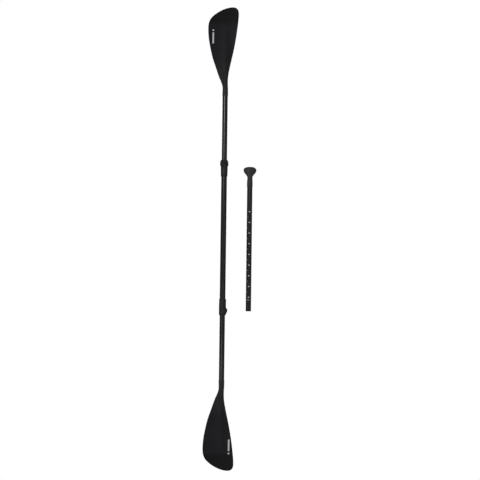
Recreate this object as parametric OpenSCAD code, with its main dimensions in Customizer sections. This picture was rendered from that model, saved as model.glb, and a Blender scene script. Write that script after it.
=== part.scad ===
// Convertible double-bladed paddle in four sections: a middle shaft with a lever
// clamp at each end, two blade sections that slide into it, and a loose palm-grip
// handle that can take the place of one blade.
// Millimetres, +Z up along the shaft, -Y towards the power faces.
// The origin is at the middle of the centre tube.

/* [Shaft] */
// Distance between the mouths of the two clamps
centre_length = 740; // [700:10:860]
// Outside diameter of the centre tube
centre_diameter = 27.2; // [26.2:0.2:27.4]
// Wall thickness of every tube
tube_wall = 0.8; // [0.7:0.1:0.9]
// Length of each blade tube, from its plug to the blade neck
blade_tube_length = 428; // [400:2:440]
// Bare tube showing between the upper clamp and the blade neck
upper_reach = 308; // [290:1:320]
// Bare tube showing between the lower clamp and the blade neck
lower_reach = 305; // [290:1:320]

/* [Blades] */
// Length of each blade, from its neck to its tip
blade_length = 422; // [400:2:440]
// Radius of the blade's curve along its length
spoon_radius = 2600; // [2200:100:3600]
// Radius of the blade's curve across its width
dish_radius = 700; // [600:50:900]
// Thickness of the blade along its middle
blade_thickness = 3.8; // [3.2:0.1:4.4]

/* [Clamps] */
// Length of each clamp body along the shaft
clamp_length = 80; // [80:1:90]
// Radius of the clamp body's sleeve
sleeve_radius = 16.5; // [16:0.1:17]

/* [Handle] */
// Distance from the shaft's axis to the loose handle's axis
handle_offset = 123; // [100:1:200]
// Height of the top of the palm grip above the middle of the shaft
handle_top = 338; // [300:1:360]
// Overall length of the loose handle section
handle_length = 688; // [660:1:700]
// Distance between two long marks of the printed scale
scale_pitch = 50.8; // [50:0.1:51]

/* [Hidden] */
$fn = 96;
fit_gap = 0.1;                                   // running fit between sliding tubes
part_gap = 0.35;                                 // gap between pieces that move past each other
skin = 0.15;                                     // thickness of the printed mark on a blade
inlay = 0.35;                                    // depth of the filled marks in the handle tube
slot_top = -18.4;                                // upper end of the slot between the ears
centre_radius = centre_diameter / 2;
centre_bore = centre_radius - tube_wall;
blade_tube_radius = centre_bore - fit_gap;
blade_tube_bore = blade_tube_radius - tube_wall;
mouth_height = centre_length / 2;                // height of each clamp's mouth
tube_end = mouth_height - 7;                     // the centre tube stops short of the seal
plug_flange = 1.6;

pivot_x = 18.4;                                  // lever pivot, out from the shaft's axis
pivot_z = -23;                                   // lever pivot, below the mouth
pivot_radius = 2;
hub_radius = 3.4;
hub_offset = 0.35;                               // how far the cam is off the pivot
hub_half = 6.5;
ear_gap = hub_half + 0.35;
ear_seat = 11;                                   // where the bolt head and nut bear
arm_half = 8.4;
arm_low = -74;
recess_top = -32.5;
pad_half = 5.6;
pad_face = pivot_x - hub_radius - hub_offset - 0.35;

front_dish = dish_radius + 150;                   // the power face is flatter across than the back
neck_radius = 13.9;
rivet_radius = 2;
blade_rivet_depth = 22;
spigot_length = 62;

grip_height = 96;                                // from the grip's top to the end of its collar
grip_spigot = 46;                                // part of the grip inside the handle tube
collar_radius = blade_tube_radius + 0.9;
grip_rivet_depth = 112;
long_marks = 9;
first_mark = -215;                               // depth of the first long mark below the top of the grip

black_plastic = [0.13, 0.13, 0.14];
black_tube = [0.09, 0.09, 0.10];
grey_plastic = [0.20, 0.20, 0.21];
steel = [0.62, 0.63, 0.65];
black_rubber = [0.05, 0.05, 0.05];
print_grey = [0.72, 0.72, 0.73];

// ---- shared shapes ----

// The value at t, from 0 to 1, between b and c on a smooth curve through four values.
function smooth(a, b, c, d, t) =
  b + t * (c - a + t * (2 * a - 5 * b + 4 * c - d + t * (3 * (b - c) + d - a))) / 2;

// An open smooth curve through rows of numbers.
function open_curve(p, steps) =
  let (n = len(p))
  [for (i = [0:n - 2], s = [0:(i == n - 2 ? steps : steps - 1)])
    smooth(p[max(i - 1, 0)], p[i], p[i + 1], p[min(i + 2, n - 1)], s / steps)];

module ring(outer, inner, height) {
  difference() {
    cylinder(r = outer, h = height);
    translate([0, 0, -1]) cylinder(r = inner, h = height + 2);
  }
}

// A box given by its lowest corner and its highest corner.
module box(low, high) {
  translate(low) cube(high - low);
}

// A cylinder along Y, through the point [x, z].
module cross_bar(x, z, r, y0, y1) {
  translate([x, y0, z]) rotate([-90, 0, 0]) cylinder(r = r, h = y1 - y0, $fn = 48);
}

// Puts a shape drawn with the mouth at z = 0 and the lever on +X at the upper clamp.
module at_upper_clamp() {
  translate([0, 0, mouth_height]) rotate([0, 0, -90]) children();
}

// The lower clamp is the upper one turned over, with its lever on +X.
module at_lower_clamp() {
  translate([0, 0, -mouth_height]) mirror([0, 0, 1]) children();
}

module at_upper_neck() {
  translate([0, 0, mouth_height + upper_reach]) children();
}

module at_lower_neck() {
  translate([0, 0, -mouth_height - lower_reach]) mirror([0, 0, 1]) children();
}

module at_handle() {
  translate([handle_offset, 0, handle_top]) children();
}

// ---- middle shaft section ----

module centre_tube() {
  color(black_tube) difference() {
    translate([0, 0, -tube_end]) ring(centre_radius, centre_bore, 2 * tube_end);
    at_upper_clamp() pad_window();
    at_lower_clamp() pad_window();
  }
}

module pad_window() {
  half = pad_half + 0.4;
  box([6, -half, pivot_z - half], [20, half, pivot_z + half]);
}

// The sleeve, turned about the shaft, with both its ends rounded.
module clamp_sleeve() {
  rotate_extrude() polygon([
    [centre_radius - 4, 0],
    [sleeve_radius - 2.4, 0],
    [sleeve_radius - 1, -0.8],
    [sleeve_radius - 0.2, -2.4],
    [sleeve_radius, -5],
    [sleeve_radius, -clamp_length * 0.6],
    [sleeve_radius - 0.6, 5 - clamp_length],
    [sleeve_radius - 1.1, 2 - clamp_length],
    [sleeve_radius - 1.7, 0.6 - clamp_length],
    [sleeve_radius - 2.2, -clamp_length],
    [centre_radius - 4, -clamp_length]]);
}

// The block that the ears are cut from, rounded in all three views.
module ear_block() {
  intersection() {
    translate([0, 30, 0]) rotate([90, 0, 0]) linear_extrude(60) polygon([
      [2, -1.5], [14, -1.5], [16.5, -5], [20, -11.5], [22.4, -17], [23.2, -22],
      [23.2, -29], [22.6, -30.8], [21, -31.6], [2, -31.6]]);
    rotate([90, 0, 90]) linear_extrude(40) polygon([
      [-14.2, -1.5], [14.2, -1.5], [17.1, -5.5], [18.9, -10], [19.8, -15.5], [19.8, -25],
      [18.7, -29], [16.6, -31.6], [-16.6, -31.6], [-18.7, -29], [-19.8, -25],
      [-19.8, -15.5], [-18.9, -10], [-17.1, -5.5]]);
    translate([4, 0, -40]) cylinder(r = 21, h = 40);
  }
}

module clamp_body() {
  seal_space = blade_tube_radius + 2.1;
  difference() {
    union() {
      clamp_sleeve();
      ear_block();
    }
    translate([0, 0, -clamp_length - 1])
      cylinder(r = centre_radius + 0.05, h = clamp_length - mouth_height + tube_end + 1.2);
    translate([0, 0, -6.4]) cylinder(r = seal_space, h = 3.6);
    translate([0, 0, -10]) cylinder(r = blade_tube_radius + part_gap, h = 20);
    box([12, -ear_gap, recess_top - 2], [30, ear_gap, slot_top]);
    box([6, -pad_half - 0.3, pivot_z - pad_half - 0.3], [20, pad_half + 0.3, pivot_z + pad_half + 0.3]);
    box([3, -arm_half - 0.5, arm_low - 0.6], [30, arm_half + 0.5, recess_top]);
    cross_bar(pivot_x, pivot_z, pivot_radius + 0.05, -30, 30);
    cross_bar(pivot_x, pivot_z, 3, -30, -ear_seat);
    translate([pivot_x, ear_seat, pivot_z]) rotate([-90, 0, 0]) cylinder(r = 3.3, h = 20, $fn = 6);
  }
}

module clamp_pad() {
  half = pad_half;
  intersection() {
    difference() {
      box([9, -half, pivot_z - half], [pad_face, half, pivot_z + half]);
      translate([0, 0, -40]) cylinder(r = blade_tube_radius + part_gap, h = 40);
    }
    translate([0, 0, -40]) cylinder(r = 17, h = 40);
  }
}

module clamp_bolt() {
  difference() {
    union() {
      cross_bar(pivot_x, pivot_z, pivot_radius, -ear_seat - 1, 14.2);
      cross_bar(pivot_x, pivot_z, 2.9, -14, -ear_seat);
    }
    translate([pivot_x, -15, pivot_z]) rotate([-90, 0, 0]) cylinder(r = 1.5, h = 2.6, $fn = 6);
  }
}

module clamp_nut() {
  difference() {
    translate([pivot_x, ear_seat + 0.05, pivot_z]) rotate([-90, 0, 0]) cylinder(r = 3.15, h = 2.8, $fn = 6);
    cross_bar(pivot_x, pivot_z, pivot_radius + 0.02, 0, 20);
  }
}

// The part of the lever that lies along the sleeve, as a slice of a tube.
module lever_arm() {
  intersection() {
    translate([0, 0, arm_low]) ring(sleeve_radius + 0.3, centre_radius + 0.5, -arm_low);
    union() {
      box([0, -arm_half, arm_low], [30, arm_half, recess_top - 0.6]);
      box([0, -hub_half, recess_top - 2], [30, hub_half, pivot_z - pad_half - 1.4]);
    }
  }
}

module clamp_lever() {
  difference() {
    union() {
      lever_arm();
      cross_bar(pivot_x - hub_offset, pivot_z, hub_radius, -hub_half, hub_half);
      // web from the hub to the arm
      translate([0, hub_half, 0]) rotate([90, 0, 0]) linear_extrude(2 * hub_half) polygon([
        [pivot_x - 2.6, pivot_z], [pivot_x + 3, pivot_z], [pivot_x + 2.6, -27], [19, -32],
        [17.2, -38], [15.4, -44], [14.8, -44], [14.8, -27]]);
      // raised lip that a finger lifts
      intersection() {
        translate([0, 0, arm_low]) ring(sleeve_radius + 1.2, centre_radius + 0.9, 4.5);
        box([0, -arm_half, arm_low], [30, arm_half, arm_low + 4.5]);
      }
    }
    cross_bar(pivot_x, pivot_z, pivot_radius + 0.05, -20, 20);
  }
}

module mouth_seal() {
  translate([0, 0, -6.1]) ring(blade_tube_radius + 2, blade_tube_radius + fit_gap, 3);
}

module upper_clamp_body() { color(black_plastic) at_upper_clamp() clamp_body(); }
module upper_clamp_pad() { color(grey_plastic) at_upper_clamp() clamp_pad(); }
module upper_clamp_bolt() { color(steel) at_upper_clamp() clamp_bolt(); }
module upper_clamp_nut() { color(steel) at_upper_clamp() clamp_nut(); }
module upper_clamp_lever() { color(grey_plastic) at_upper_clamp() clamp_lever(); }
module upper_mouth_seal() { color(black_rubber) at_upper_clamp() mouth_seal(); }

module lower_clamp_body() { color(black_plastic) at_lower_clamp() clamp_body(); }
module lower_clamp_pad() { color(grey_plastic) at_lower_clamp() clamp_pad(); }
module lower_clamp_bolt() { color(steel) at_lower_clamp() clamp_bolt(); }
module lower_clamp_nut() { color(steel) at_lower_clamp() clamp_nut(); }
module lower_clamp_lever() { color(grey_plastic) at_lower_clamp() clamp_lever(); }
module lower_mouth_seal() { color(black_rubber) at_lower_clamp() mouth_seal(); }

// ---- blade sections, drawn with the neck at z = 0 and the tip on +Z ----

// Blade outline as [x, distance from the tip], from the neck round the bulged side to the
// tip corner and back along the straighter side.
outline_points = [
  [-13.8, 422], [-13, 391], [-14, 375], [-20, 356], [-32, 328], [-48.6, 280], [-63, 238],
  [-74, 192], [-81.8, 148], [-84.8, 108], [-83.5, 80], [-76, 58], [-61.5, 40.5], [-38.5, 23.5],
  [-12, 9.8], [12, 2.3], [32, 0], [47.5, 3], [57, 12.5], [60.8, 28], [59.8, 56], [55.3, 98],
  [48.8, 145], [40.6, 192], [31, 238], [21.4, 282], [14.6, 318], [12, 346], [12.3, 372],
  [13.4, 391], [13.8, 422]];

module blade_outline() {
  rise = blade_length / 422;
  curve = open_curve(outline_points, 3);
  polygon([for (p = curve) [p[0], (422 - p[1]) * rise]]);
}

// A solid disc-like torus whose outer skin has the blade's two curves. The skin passes
// through y = 0 at height tangent_z, and its crown is over x = crown_x.
tangent_z = 30;
crown_x = -13;
module spoon(offset_y, across) {
  translate([crown_x, offset_y - spoon_radius, tangent_z]) rotate([0, 90, 0])
    rotate_extrude($fn = 360) translate([spoon_radius - across, 0]) circle(r = across, $fn = 180);
}

module blade_prism(y0, y1) {
  translate([0, y1, 0]) rotate([90, 0, 0]) linear_extrude(y1 - y0) children();
}

// The thin dished blade: inside the back skin and outside the front skin. The front skin is
// flatter across, so the blade thins towards its edges.
module lamina() {
  intersection() {
    blade_prism(-70, 15) blade_outline();
    difference() {
      spoon(blade_thickness / 2, dish_radius);
      spoon(-blade_thickness / 2, front_dish);
    }
  }
}

// The ridge that carries the neck into the blade and fades out along it.
spine_start = 58;
spine_length = 196;
module spine() {
  cylinder(r1 = neck_radius, r2 = 9.6, h = spine_start + 2);
  translate([0, 0, spine_start]) rotate([2.7, 0, 0]) cylinder(r1 = 9.5, r2 = 1.3, h = spine_length);
}

module blade() {
  difference() {
    union() {
      lamina();
      spine();
      cylinder(r = neck_radius, h = 12);
      translate([0, 0, -spigot_length]) cylinder(r = blade_tube_bore - 0.05, h = spigot_length + 5);
    }
    rotate([-90, 0, 0]) translate([0, blade_rivet_depth, 4]) cylinder(r = rivet_radius + 0.05, h = 20);
  }
}

module blade_tube() {
  difference() {
    translate([0, 0, -blade_tube_length]) ring(blade_tube_radius, blade_tube_bore, blade_tube_length);
    rotate([-90, 0, 0]) translate([0, blade_rivet_depth, 0]) cylinder(r = rivet_radius + 0.05, h = 20);
  }
}

// A blind rivet on the back of the tube, with a low domed head.
module blade_rivet() {
  head = blade_tube_radius;
  rotate([-90, 0, 0]) translate([0, blade_rivet_depth, 0]) {
    translate([0, 0, 4.2]) cylinder(r = rivet_radius, h = head - 4);
    translate([0, 0, head + 0.05]) cylinder(r1 = 3.6, r2 = 2.4, h = 1.1);
  }
}

module tube_plug() {
  translate([0, 0, -blade_tube_length - plug_flange]) {
    cylinder(r = blade_tube_radius, h = plug_flange);
    cylinder(r = blade_tube_bore - 0.05, h = 14);
  }
}

// A printed bar and dot on the power face, at x and a distance from the tip.
module blade_stripe(x, low, high, dot) {
  width = 7.6;
  difference() {
    intersection() {
      blade_prism(-70, 15) union() {
        translate([x - width / 2, blade_length - low]) square([width, low - high]);
        translate([x - width / 2, blade_length - dot - width / 2]) square([width, width]);
      }
      spoon(-blade_thickness / 2, front_dish);
    }
    spoon(-blade_thickness / 2 - skin, front_dish);
  }
}

module upper_blade() { color(black_plastic) at_upper_neck() blade(); }
module upper_blade_tube() { color(black_tube) at_upper_neck() blade_tube(); }
module upper_blade_rivet() { color(steel) at_upper_neck() blade_rivet(); }
module upper_tube_plug() { color(black_plastic) at_upper_neck() tube_plug(); }
module upper_blade_stripe() { color(print_grey) at_upper_neck() blade_stripe(-60.5, 171, 118, 108); }

module lower_blade() { color(black_plastic) at_lower_neck() blade(); }
module lower_blade_tube() { color(black_tube) at_lower_neck() blade_tube(); }
module lower_blade_rivet() { color(steel) at_lower_neck() blade_rivet(); }
module lower_tube_plug() { color(black_plastic) at_lower_neck() tube_plug(); }
module lower_blade_stripe() { color(print_grey) at_lower_neck() blade_stripe(38, 144, 90, 79); }

// ---- loose handle, drawn with the top of the palm grip at z = 0 ----

// Palm grip sections as [depth below the top, half width, half thickness].
grip_rows = [
  [0, 6, 3], [0.8, 13, 7], [2.4, 19.5, 10.6], [5.6, 25.2, 14], [10, 29, 16], [15, 30.7, 16.8],
  [20, 30.3, 16.4], [25, 28.6, 15.6], [30, 25.2, 14.4], [35, 21.4, 13.2], [40, 17.2, 12.3],
  [45, 14, 11.8], [51, 12.2, 11.7], [58, 12.4, 12.2], [66, 13.1, 13], [71, 13.7, 13.7],
  [74, 13.7, 13.7]];

module grip_shell() {
  around = 40;
  rows = open_curve(grip_rows, 2);
  levels = len(rows);
  points = [for (row = rows, i = [0:around - 1])
    [row[1] * cos(360 * i / around), row[2] * sin(360 * i / around), -row[0]]];
  sides = [for (k = [0:levels - 2], i = [0:around - 1])
    let (a = k * around + i, b = k * around + (i + 1) % around)
    [a, b, b + around, a + around]];
  top = [for (i = [around - 1:-1:0]) i];
  bottom = [for (i = [0:around - 1]) (levels - 1) * around + i];
  polyhedron(points = points, faces = concat([top], sides, [bottom]), convexity = 4);
}

module palm_grip() {
  color(grey_plastic) at_handle() difference() {
    union() {
      grip_shell();
      translate([0, 0, -grip_height]) cylinder(r = collar_radius, h = 24);
      translate([0, 0, -grip_height - grip_spigot]) cylinder(r = blade_tube_bore - 0.05, h = grip_spigot + 5);
    }
    cross_bar(0, -grip_rivet_depth, rivet_radius + 0.05, -30, 30);
  }
}

module handle_tube() {
  color(black_tube) at_handle() difference() {
    translate([0, 0, plug_flange - handle_length])
      ring(blade_tube_radius, blade_tube_bore, handle_length - plug_flange - grip_height);
    cross_bar(0, -grip_rivet_depth, rivet_radius + 0.05, -30, 30);
    scale_ticks(blade_tube_radius + 1);
  }
}

module grip_rivet() {
  half = blade_tube_radius - 0.2;
  color(steel) at_handle() cross_bar(0, -grip_rivet_depth, rivet_radius, -half, half);
}

module handle_end_plug() {
  color(black_plastic) at_handle() translate([0, 0, -handle_length]) {
    cylinder(r1 = blade_tube_radius - 0.8, r2 = blade_tube_radius, h = plug_flange);
    cylinder(r = blade_tube_bore - 0.05, h = 16);
  }
}

// One tick of the scale on the front of the tube: a slice of a thin ring.
module tick(depth, x0, x1, height, outer) {
  intersection() {
    translate([0, 0, depth - height / 2]) ring(outer, blade_tube_radius - inlay, height);
    box([x0, -20, depth - height], [x1, 0, depth + height]);
  }
}

// Long ticks with short ones halfway between them, and a stop mark below the last. They are
// let into the tube, so that a clamp slides over them.
module scale_ticks(outer) {
  for (i = [0:long_marks - 1]) tick(first_mark - i * scale_pitch, -3.5, 4, 4, outer);
  for (i = [0:long_marks - 2]) tick(first_mark - (i + 0.5) * scale_pitch, -9.5, -6, 1.6, outer);
  tick(first_mark - (long_marks - 1) * scale_pitch - 13, -4.5, 1.5, 3.4, outer);
}

module handle_scale_marks() {
  color(print_grey) at_handle() scale_ticks(blade_tube_radius);
}

centre_tube();
upper_clamp_body();
upper_clamp_pad();
upper_clamp_bolt();
upper_clamp_nut();
upper_clamp_lever();
lower_clamp_body();
lower_clamp_pad();
lower_clamp_bolt();
lower_clamp_nut();
lower_clamp_lever();
upper_mouth_seal();
lower_mouth_seal();
upper_blade();
upper_blade_tube();
upper_blade_rivet();
upper_tube_plug();
upper_blade_stripe();
lower_blade();
lower_blade_tube();
lower_blade_rivet();
lower_tube_plug();
lower_blade_stripe();
palm_grip();
handle_tube();
grip_rivet();
handle_end_plug();
handle_scale_marks();
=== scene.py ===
"""Convertible double-bladed paddle with its loose palm-grip handle, as finished surfaces.

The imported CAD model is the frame. The blades, the clamp mouldings and the palm grip are
rebuilt here as smooth meshes, and every other CAD part keeps its mesh and gets a material.
Metres, +Z up along the shaft, -Y towards the power faces.
"""

import math

import bpy
import numpy as np
from mathutils import Matrix, Vector


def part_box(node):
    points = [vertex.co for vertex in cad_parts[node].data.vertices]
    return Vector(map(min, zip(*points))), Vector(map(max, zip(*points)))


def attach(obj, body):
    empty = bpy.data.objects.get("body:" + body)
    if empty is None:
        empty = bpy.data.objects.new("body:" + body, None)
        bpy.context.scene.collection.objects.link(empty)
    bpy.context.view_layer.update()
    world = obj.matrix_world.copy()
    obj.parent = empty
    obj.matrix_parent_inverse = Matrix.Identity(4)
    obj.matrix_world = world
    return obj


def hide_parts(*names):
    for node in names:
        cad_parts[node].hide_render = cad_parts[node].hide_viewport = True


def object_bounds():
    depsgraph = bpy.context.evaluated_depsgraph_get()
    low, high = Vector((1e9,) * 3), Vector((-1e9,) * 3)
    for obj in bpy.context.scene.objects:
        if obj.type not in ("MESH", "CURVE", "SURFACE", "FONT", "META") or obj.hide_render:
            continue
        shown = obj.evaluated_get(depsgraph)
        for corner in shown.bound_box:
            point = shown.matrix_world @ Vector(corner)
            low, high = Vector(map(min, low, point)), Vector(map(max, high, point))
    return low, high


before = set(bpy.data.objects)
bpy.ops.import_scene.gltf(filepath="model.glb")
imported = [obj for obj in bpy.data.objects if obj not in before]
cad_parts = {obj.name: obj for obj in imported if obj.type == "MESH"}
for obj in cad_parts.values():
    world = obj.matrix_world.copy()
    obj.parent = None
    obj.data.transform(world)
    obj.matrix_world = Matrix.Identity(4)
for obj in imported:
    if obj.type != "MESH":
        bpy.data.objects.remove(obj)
cad_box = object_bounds()

MM = 0.001

# Blade proportions, in millimetres, as in the CAD source.
BLADE_LENGTH = 422.0
BLADE_THICKNESS = 3.8
SPOON_RADIUS = 2600.0
FRONT_DISH = 850.0
BACK_DISH = 700.0
CROWN_X = -13.0
TANGENT_Z = 30.0
NECK_RADIUS = 13.9
SPIGOT_RADIUS = 11.85
SPIGOT_LENGTH = 62.0
TIP_CURL = 3.0
RIB_HEIGHT = 1.6
RIB_HALF_WIDTH = 34.0

# The printed bar and dot on each blade, in millimetres.
MARK_HALF_WIDTH = 3.8
MARK_CORNER = 1.6
MARK_PROUD = 0.15
MARK_SUNK = 0.2

# How finely the rebuilt meshes are divided.
BLADE_ROWS = 170
BLADE_AROUND = 112
MARK_ROWS = 40
MARK_COLUMNS = 7
GRIP_AROUND = 72
BODY_VOXEL = 0.45
LEVER_VOXEL = 0.4

# The camera: distance in metres, angles in degrees, and the offset of its axis.
CAMERA_DISTANCE = 6.0
CAMERA_BELOW = 3.2
CAMERA_ROLL = 0.703
CAMERA_RIGHT = 0.0793
CAMERA_DOWN = 0.0127
CAMERA_LENS = 94.6

# Outline as (x, distance from the tip), from the neck round the bulged side to the tip
# corner and back along the straighter side.
OUTLINE = [
    (-13.8, 422), (-13, 391), (-14, 375), (-20, 356), (-32, 328), (-48.6, 280),
    (-63, 238), (-74, 192), (-81.8, 148), (-84.8, 108), (-83.5, 80), (-76, 58),
    (-61.5, 40.5), (-38.5, 23.5), (-12, 9.8), (12, 2.3), (32, 0), (47.5, 3), (57, 12.5),
    (60.8, 28), (59.8, 56), (55.3, 98), (48.8, 145), (40.6, 192), (31, 238), (21.4, 282),
    (14.6, 318), (12, 346), (12.3, 372), (13.4, 391), (13.8, 422)]


# ---- curves and meshes ----

def smooth_curve(points, steps):
    """A Catmull-Rom curve through rows of numbers, open at both ends."""
    p = np.array(points, float)
    n = len(p)
    out = []
    for i in range(n - 1):
        a, b, c, d = p[max(i - 1, 0)], p[i], p[i + 1], p[min(i + 2, n - 1)]
        for s in range(steps):
            t = s / steps
            bend = 2 * a - 5 * b + 4 * c - d + t * (3 * (b - c) + d - a)
            out.append(b + t * (c - a + t * bend) / 2)
    out.append(p[-1])
    return np.array(out)


def ease(x, low, high):
    """0 below low, 1 above high, and smooth between."""
    t = np.clip((x - low) / (high - low), 0, 1)
    return t * t * (3 - 2 * t)


def mesh_object(name, vertices, faces, body):
    """A smooth-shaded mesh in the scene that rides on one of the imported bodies."""
    mesh = bpy.data.meshes.new(name)
    mesh.from_pydata([tuple(v) for v in vertices], [], faces)
    mesh.validate()
    mesh.shade_smooth()
    obj = bpy.data.objects.new(name, mesh)
    bpy.context.scene.collection.objects.link(obj)
    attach(obj, body)
    return obj


def ring_faces(rows, around, flip=False):
    """Quads between closed rings of vertices, with both ends capped."""
    faces = []
    for k in range(rows - 1):
        for i in range(around):
            j = (i + 1) % around
            quad = [k * around + i, k * around + j, (k + 1) * around + j, (k + 1) * around + i]
            faces.append(quad[::-1] if flip else quad)
    first = list(range(around))
    last = list(range((rows - 1) * around, rows * around))
    faces.append(first if flip else first[::-1])
    faces.append(last[::-1] if flip else last)
    return faces


# ---- blades ----

def skin_y(x, z, offset, dish):
    """Depth of one of the blade's skins: curved along its length and across its width."""
    across = SPOON_RADIUS - dish + np.sqrt(dish ** 2 - (x - CROWN_X) ** 2)
    return offset - SPOON_RADIUS + np.sqrt(across ** 2 - (z - TANGENT_Z) ** 2)


def ridge_height(x, z, length):
    """Half thickness of the neck as it runs out into the blade over the given length."""
    fade = 1 - ease(z, 22, length)
    width = 13 + 9 * ease(z, 40, 180)
    sharpness = 0.5 + 1.3 * ease(z, 30, 120)
    return NECK_RADIUS * fade * np.clip(1 - (x / width) ** 2, 0, 1) ** sharpness


def edge_distance(x, z, curve):
    """Distance from points on the blade to its outline."""
    start, end = curve[:-1], curve[1:]
    step = end - start
    p = np.stack([x, z], -1)[..., None, :]
    t = np.clip(((p - start) * step).sum(-1) / (step ** 2).sum(-1), 0, 1)
    return np.sqrt((((start + t[..., None] * step) - p) ** 2).sum(-1)).min(-1)


def blade_outline():
    """The outline as (x, height above the neck), with the curve filled in."""
    curve = smooth_curve(OUTLINE, 12)
    curve[:, 1] = BLADE_LENGTH - curve[:, 1]
    return curve


def blade_y(x, z, side, curve):
    """Depth of the finished blade at x and z, on the power face (side -1) or the back (side 1)."""
    flat = ease(z, 25, 90)
    curl = TIP_CURL * ease(z, 70, 345) * (1 - ease(z, 350, BLADE_LENGTH))
    rib = RIB_HEIGHT * np.clip(1 - np.abs(x) / RIB_HALF_WIDTH, 0, 1) ** 1.3
    rib = rib * ease(z, 90, 160) * (1 - ease(z, 240, 400))
    front = skin_y(x, z, -BLADE_THICKNESS / 2, FRONT_DISH) + curl
    back = skin_y(x, z, BLADE_THICKNESS / 2, BACK_DISH) + curl
    middle = (front + back) / 2 * flat + skin_y(0.0, z, 0.0, BACK_DISH) * (1 - flat)
    rim = np.clip(edge_distance(x, z, curve) / 1.5, 0, 1)
    plate = (back - front) / 2 * np.sqrt(1 - (1 - rim) ** 2)
    plate = plate + np.where(side < 0, rib, 0)
    ridge = np.where(side < 0, ridge_height(x, z, 215), ridge_height(x, z, 290))
    return middle + side * (plate ** 3 + ridge ** 3) ** (1 / 3)


def blade_mesh(name, node, body, neck_height, up):
    """One blade as rings of vertices from the spigot to the tip."""
    curve = blade_outline()
    top = int(curve[:, 1].argmax())
    left, right = curve[:top + 1], curve[top:][::-1]
    rows, around = BLADE_ROWS, BLADE_AROUND
    angle = 2 * np.pi * np.arange(around) / around
    side = np.sign(np.sin(angle) + 1e-9)
    heights = BLADE_LENGTH * (1 - (1 - np.arange(1, rows) / rows) ** 1.7)
    vertices = []
    for radius, z in ((SPIGOT_RADIUS - 0.8, -SPIGOT_LENGTH), (SPIGOT_RADIUS, -SPIGOT_LENGTH + 1),
                      (SPIGOT_RADIUS, 0.0), (NECK_RADIUS - 0.5, 0.0), (NECK_RADIUS - 0.1, 0.3),
                      (NECK_RADIUS, 1.0)):
        for a in angle:
            vertices.append((radius * math.cos(a), radius * math.sin(a), z))
    for z in heights:
        x_left = np.interp(z, left[:, 1], left[:, 0])
        x_right = np.interp(z, right[:, 1], right[:, 0])
        x = (x_left + x_right) / 2 + (x_right - x_left) / 2 * np.cos(angle)
        for px, py in zip(x, blade_y(x, np.full_like(x, z), side, curve)):
            vertices.append((px, py, z))
    placed = [(x * MM, y * MM, (neck_height + up * z) * MM) for x, y, z in vertices]
    obj = mesh_object(name, placed, ring_faces(rows + 5, around, flip=up < 0), body)
    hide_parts(node)
    return obj


def blade_mark(name, node, body, neck_height, up, x, low, high, dot):
    """The printed bar and dot, laid on the finished face with rounded corners.

    low, high and dot are distances from the tip, and x is across the blade.
    """
    half, corner = MARK_HALF_WIDTH, MARK_CORNER
    rows, columns = MARK_ROWS, MARK_COLUMNS
    curve = blade_outline()
    across = np.linspace(-1, 1, columns)
    vertices, faces = [], []
    for start, end in ((BLADE_LENGTH - low, BLADE_LENGTH - high),
                       (BLADE_LENGTH - dot - half, BLADE_LENGTH - dot + half)):
        for z in np.linspace(start, end, rows):
            inset = max(corner - (z - start), corner - (end - z), 0)
            width = half - corner + math.sqrt(max(corner ** 2 - inset ** 2, 0))
            px = x + width * across
            y = blade_y(px, np.full_like(px, z), -1, curve)
            vertices += [(a, b - MARK_PROUD, z) for a, b in zip(px, y)]
            vertices += [(a, b + MARK_SUNK, z) for a, b in zip(px[::-1], y[::-1])]
        first = len(vertices) - rows * 2 * columns
        faces += [[first + i for i in face] for face in ring_faces(rows, 2 * columns, flip=up > 0)]
    placed = [(a * MM, b * MM, (neck_height + up * c) * MM) for a, b, c in vertices]
    obj = mesh_object(name, placed, faces, body)
    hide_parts(node)
    return obj


# ---- palm grip ----

# Sections as depth below the top, half width and half thickness, in millimetres.
GRIP = [
    (0, 6, 3), (0.8, 13, 7), (2.4, 19.5, 10.6), (5.6, 25.2, 14), (10, 29, 16), (15, 30.7, 16.8),
    (20, 30.3, 16.4), (25, 28.6, 15.6), (30, 25.2, 14.4), (35, 21.4, 13.2), (40, 17.2, 12.3),
    (45, 14, 11.8), (51, 12.2, 11.7), (58, 12.4, 12.2), (66, 13.1, 13), (71, 13.6, 13.6),
    (95.4, 13.6, 13.6), (96, 13.1, 13.1)]


def palm_grip():
    """The grip, its collar and the spigot inside the tube, lofted through oval sections."""
    low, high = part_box("palm_grip")
    centre_x = (low.x + high.x) / 2
    around = GRIP_AROUND
    rings = smooth_curve(GRIP[:-2], 6)
    rings = np.vstack([rings, GRIP[-2:], [(96.0, SPIGOT_RADIUS, SPIGOT_RADIUS)],
                       [(142.0, SPIGOT_RADIUS, SPIGOT_RADIUS)]])
    vertices = []
    for depth, half_x, half_y in rings:
        for i in range(around):
            a = 2 * math.pi * i / around
            vertices.append((centre_x + half_x * math.cos(a) * MM, half_y * math.sin(a) * MM,
                             high.z - depth * MM))
    obj = mesh_object("grip_moulding", vertices, ring_faces(len(rings), around, flip=True),
                      "handle_section")
    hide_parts("palm_grip")
    return obj


# ---- clamp mouldings ----

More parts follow.
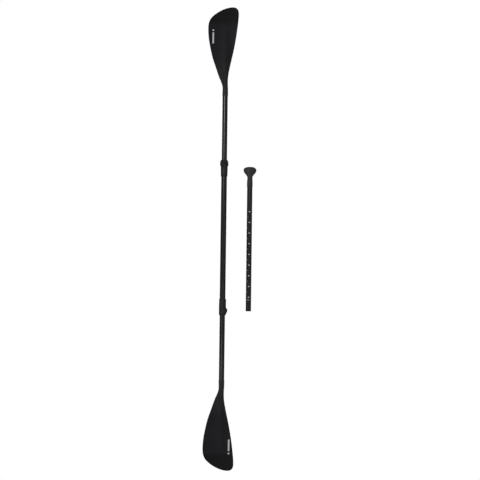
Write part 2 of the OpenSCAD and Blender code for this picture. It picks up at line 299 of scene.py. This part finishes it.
def moulded(node, name, body, voxel):
    """A CAD moulding with its edges softened, as a new mesh that replaces it."""
    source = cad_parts[node]
    mesh = source.data.copy()
    obj = bpy.data.objects.new(name, mesh)
    bpy.context.scene.collection.objects.link(obj)
    weld = obj.modifiers.new("weld", "WELD")
    weld.merge_threshold = 0.00001
    remesh = obj.modifiers.new("remesh", "REMESH")
    remesh.mode = "VOXEL"
    remesh.voxel_size = voxel * MM
    soften = obj.modifiers.new("soften", "SMOOTH")
    soften.factor = 0.5
    soften.iterations = 6
    thin = obj.modifiers.new("thin", "DECIMATE")
    thin.ratio = 0.3
    graph = bpy.context.evaluated_depsgraph_get()
    done = bpy.data.meshes.new_from_object(obj.evaluated_get(graph))
    obj.modifiers.clear()
    obj.data = done
    done.name = name
    done.materials.clear()
    done.shade_smooth()
    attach(obj, body)
    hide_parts(node)
    return obj


# ---- materials ----

class Surface:
    """A Principled material whose colour, roughness and bump come from noise."""

    def __init__(self, name):
        self.material = bpy.data.materials.new(name)
        self.material.use_nodes = True
        self.tree = self.material.node_tree
        self.tree.nodes.clear()
        self.shader = self.tree.nodes.new("ShaderNodeBsdfPrincipled")
        output = self.tree.nodes.new("ShaderNodeOutputMaterial")
        self.tree.links.new(self.shader.outputs[0], output.inputs[0])
        self.place = self.tree.nodes.new("ShaderNodeTexCoord").outputs["Object"]
        self.height = None

    def set(self, **values):
        for key, value in values.items():
            socket = key.replace("_", " ").title().replace("Ior", "IOR")
            self.shader.inputs[socket].default_value = value
        return self

    def stretched(self, scale):
        node = self.tree.nodes.new("ShaderNodeMapping")
        node.inputs["Scale"].default_value = scale
        self.tree.links.new(self.place, node.inputs["Vector"])
        return node.outputs[0]

    def along_blade(self, neck_height, tip_height):
        """0 at a blade's neck and 1 at its tip, the same for both blades."""
        split = self.tree.nodes.new("ShaderNodeSeparateXYZ")
        self.tree.links.new(self.place, split.inputs[0])
        height = self.tree.nodes.new("ShaderNodeMath")
        height.operation = "ABSOLUTE"
        self.tree.links.new(split.outputs["Z"], height.inputs[0])
        span = self.tree.nodes.new("ShaderNodeMapRange")
        span.inputs["From Min"].default_value = neck_height
        span.inputs["From Max"].default_value = tip_height
        self.tree.links.new(height.outputs[0], span.inputs["Value"])
        return span.outputs[0]

    def noise(self, scale, detail=4.0, rough=0.55, stretch=None):
        node = self.tree.nodes.new("ShaderNodeTexNoise")
        node.inputs["Scale"].default_value = scale
        node.inputs["Detail"].default_value = detail
        node.inputs["Roughness"].default_value = rough
        where = self.stretched(stretch) if stretch else self.place
        self.tree.links.new(where, node.inputs["Vector"])
        return node.outputs[0]

    def ramp(self, value, stops):
        node = self.tree.nodes.new("ShaderNodeValToRGB")
        while len(node.color_ramp.elements) < len(stops):
            node.color_ramp.elements.new(0.5)
        for element, (at, colour) in zip(node.color_ramp.elements, stops):
            element.position = at
            element.color = (*colour, 1) if not isinstance(colour, float) else (colour,) * 3 + (1,)
        self.tree.links.new(value, node.inputs[0])
        return node.outputs[0]

    def mix(self, factor, a, b):
        node = self.tree.nodes.new("ShaderNodeMix")
        node.data_type = "RGBA"
        self.tree.links.new(factor, node.inputs[0])
        for socket, value in ((node.inputs[6], a), (node.inputs[7], b)):
            if isinstance(value, tuple):
                socket.default_value = (*value, 1)
            else:
                self.tree.links.new(value, socket)
        return node.outputs[2]

    def colour(self, value):
        self.tree.links.new(value, self.shader.inputs["Base Color"])
        return self

    def rough(self, value):
        self.tree.links.new(value, self.shader.inputs["Roughness"])
        return self

    def bump(self, value, depth, strength=1.0):
        node = self.tree.nodes.new("ShaderNodeBump")
        node.inputs["Strength"].default_value = strength
        node.inputs["Distance"].default_value = depth * MM
        self.tree.links.new(value, node.inputs["Height"])
        if self.height is not None:
            self.tree.links.new(self.height, node.inputs["Normal"])
        self.height = node.outputs[0]
        self.tree.links.new(self.height, self.shader.inputs["Normal"])
        return self


def blade_plastic(neck_height, tip_height):
    """Satin plastic, graded from grey at the neck to plain black round the tip."""
    s = Surface("blade_plastic")
    along = s.along_blade(neck_height, tip_height)
    cloud = s.noise(9.0, 3.0)
    face = s.ramp(cloud, [(0.3, (0.0092, 0.0084, 0.0114)), (0.7, (0.0140, 0.0130, 0.0168))])
    base = s.mix(s.ramp(along, [(0.0, 1.0), (0.42, 0.0)]), face, (0.038, 0.0376, 0.0386))
    base = s.mix(s.ramp(along, [(0.80, 0.0), (0.84, 1.0)]), base, (0.0052, 0.0053, 0.0052))
    scratch = s.noise(60.0, 8.0, 0.7, stretch=(3.0, 3.0, 0.35))
    worn = s.ramp(scratch, [(0.60, 0.0), (0.72, 0.5)])
    s.colour(s.mix(worn, base, (0.018, 0.017, 0.019)))
    s.rough(s.ramp(s.noise(28.0, 6.0), [(0.25, 0.40), (0.75, 0.56)]))
    s.bump(s.noise(1900.0, 2.0), 0.03, 0.55)
    s.bump(s.noise(240.0, 3.0), 0.05, 0.3)
    s.set(specular_ior_level=0.13)
    return s.material


def anodised_tube():
    """Black anodised tube with faint draw lines along it."""
    s = Surface("black_tube")
    cloud = s.noise(14.0, 3.0)
    s.colour(s.ramp(cloud, [(0.3, (0.038, 0.038, 0.039)), (0.7, (0.049, 0.049, 0.050))]))
    drawn = s.noise(420.0, 6.0, 0.65, stretch=(1.0, 1.0, 0.012))
    s.rough(s.ramp(drawn, [(0.3, 0.20), (0.7, 0.27)]))
    s.bump(drawn, 0.002, 0.3)
    s.set(metallic=1.0)
    return s.material


def moulded_plastic(name, dark, light, grain, mottle=45.0):
    """Fine-grained plastic that varies between two tones."""
    s = Surface(name)
    s.colour(s.ramp(s.noise(mottle, 5.0), [(0.3, dark), (0.7, light)]))
    s.rough(s.ramp(s.noise(160.0, 5.0), [(0.3, 0.42), (0.7, 0.60)]))
    s.bump(s.noise(grain, 3.0), 0.05, 0.6)
    s.set(specular_ior_level=0.28)
    return s.material


def blackened_steel():
    """Bolts, nuts and rivets."""
    s = Surface("steel")
    s.colour(s.ramp(s.noise(300.0, 5.0), [(0.3, (0.030, 0.030, 0.031)), (0.7, (0.045, 0.045, 0.046))]))
    s.rough(s.ramp(s.noise(900.0, 4.0, stretch=(1.0, 0.1, 1.0)), [(0.3, 0.24), (0.7, 0.42)]))
    s.set(metallic=1.0)
    return s.material


def wiper_rubber():
    """The seals in the clamp mouths."""
    s = Surface("black_rubber")
    s.colour(s.ramp(s.noise(200.0), [(0.3, (0.010, 0.010, 0.010)), (0.7, (0.018, 0.018, 0.018))]))
    s.rough(s.ramp(s.noise(500.0), [(0.3, 0.70), (0.7, 0.85)]))
    s.bump(s.noise(1500.0), 0.03, 0.5)
    return s.material


def screen_print():
    """Slightly patchy grey ink."""
    s = Surface("print_grey")
    ink = s.ramp(s.noise(900.0, 6.0, 0.7), [(0.28, (0.30, 0.30, 0.31)), (0.42, (0.66, 0.66, 0.68))])
    s.colour(ink)
    s.rough(s.ramp(s.noise(400.0), [(0.3, 0.45), (0.7, 0.6)]))
    return s.material


def paint(obj, material):
    """Give a piece its one material."""
    obj.data.materials.clear()
    obj.data.materials.append(material)


# ---- scene ----

def build():
    """Make the rebuilt pieces, then give every piece its material."""
    blade_tube_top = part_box("upper_blade_tube")[1].z / MM
    blade_tube_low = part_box("lower_blade_tube")[0].z / MM
    blades = [
        blade_mesh("blade_upper", "upper_blade", "upper_blade_section", blade_tube_top, 1),
        blade_mesh("blade_lower", "lower_blade", "lower_blade_section", blade_tube_low, -1)]
    marks = [
        blade_mark("blade_mark_upper", "upper_blade_stripe", "upper_blade_section",
                   blade_tube_top, 1, -60.5, 171, 118, 108),
        blade_mark("blade_mark_lower", "lower_blade_stripe", "lower_blade_section",
                   blade_tube_low, -1, 38, 144, 90, 79)]
    grip = palm_grip()
    mouldings = []
    levers = []
    for end in ("upper", "lower"):
        mouldings.append(moulded(end + "_clamp_body", end + "_clamp_moulding", "centre_section",
                                 BODY_VOXEL))
        levers.append(moulded(end + "_clamp_lever", end + "_lever_moulding", end + "_lever",
                              LEVER_VOXEL))
    tube = anodised_tube()
    steel = blackened_steel()
    body_plastic = moulded_plastic(
        "black_plastic", (0.014, 0.014, 0.0145), (0.022, 0.022, 0.0225), 900.0)
    lever_plastic = moulded_plastic(
        "lever_plastic", (0.018, 0.018, 0.0185), (0.026, 0.026, 0.0265), 900.0)
    grip_plastic = moulded_plastic(
        "grey_plastic", (0.019, 0.019, 0.0195), (0.058, 0.058, 0.0585), 600.0, 150.0)
    ink = screen_print()
    looks = {
        "tube": tube, "bolt": steel, "nut": steel, "rivet": steel, "seal": wiper_rubber(),
        "plug": body_plastic, "pad": body_plastic, "marks": ink}
    for name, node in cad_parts.items():
        for word, material in looks.items():
            if name.endswith(word):
                paint(node, material)
    plastic = blade_plastic(blade_tube_top * MM, cad_box[1].z)
    for blade in blades:
        paint(blade, plastic)
    for mark in marks:
        paint(mark, ink)
    for piece in mouldings:
        paint(piece, body_plastic)
    for piece in levers:
        paint(piece, lever_plastic)
    paint(grip, grip_plastic)


def studio():
    """A white room, two soft boxes on the left, a weak one on the right and one behind."""
    white_room(fill=0.27)
    soft_box("key_high", (-1.65, -3.95, 1.45), (1.5, 1.0), 44.0)
    soft_box("key_low", (-1.65, -3.95, -1.12), (1.5, 0.8), 22.0)
    soft_box("side", (2.4, -3.2, 0.1), (0.6, 2.6), 7.0)
    soft_box("back", (0.0, 4.5, 1.2), (1.8, 1.6), 14.0)


def white_room(fill):
    """The room looks white, but the light it gives the object is only the fill."""
    world = bpy.data.worlds.new("studio")
    bpy.context.scene.world = world
    world.use_nodes = True
    tree = world.node_tree
    tree.nodes.clear()
    path = tree.nodes.new("ShaderNodeLightPath")
    light = tree.nodes.new("ShaderNodeBackground")
    light.inputs["Strength"].default_value = fill
    white = tree.nodes.new("ShaderNodeBackground")
    for node in (light, white):
        node.inputs["Color"].default_value = (1, 1, 1, 1)
    pick = tree.nodes.new("ShaderNodeMixShader")
    output = tree.nodes.new("ShaderNodeOutputWorld")
    tree.links.new(path.outputs["Is Camera Ray"], pick.inputs[0])
    tree.links.new(light.outputs[0], pick.inputs[1])
    tree.links.new(white.outputs[0], pick.inputs[2])
    tree.links.new(pick.outputs[0], output.inputs[0])


def soft_box(name, place, size, power):
    """A rectangular light in metres and watts, facing the middle of the object."""
    light = bpy.data.lights.new(name, "AREA")
    light.shape = "RECTANGLE"
    light.size, light.size_y = size
    light.energy = power
    obj = bpy.data.objects.new(name, light)
    obj.location = place
    obj.rotation_euler = (-Vector(place)).to_track_quat("-Z", "Y").to_euler()
    obj.visible_camera = False
    bpy.context.scene.collection.objects.link(obj)


def camera():
    """Head on, a little below the middle and rolled by under a degree."""
    below = math.radians(CAMERA_BELOW)
    roll = math.radians(CAMERA_ROLL)
    forward = Vector((0, math.cos(below), math.sin(below)))
    level_up = Vector((0, -math.sin(below), math.cos(below)))
    side = Vector((1, 0, 0))
    right = side * math.cos(roll) + level_up * math.sin(roll)
    up = level_up * math.cos(roll) - side * math.sin(roll)
    place = right * CAMERA_RIGHT - up * CAMERA_DOWN - forward * CAMERA_DISTANCE
    data = bpy.data.cameras.new("camera")
    data.lens = CAMERA_LENS
    data.sensor_width = 36.0
    data.clip_end = 100.0
    obj = bpy.data.objects.new("camera", data)
    obj.matrix_world = Matrix((
        (right.x, up.x, -forward.x, place.x),
        (right.y, up.y, -forward.y, place.y),
        (right.z, up.z, -forward.z, place.z),
        (0, 0, 0, 1)))
    bpy.context.scene.collection.objects.link(obj)
    bpy.context.scene.camera = obj


camera()
build()
studio()
bpy.context.scene.view_settings.view_transform = "Standard"
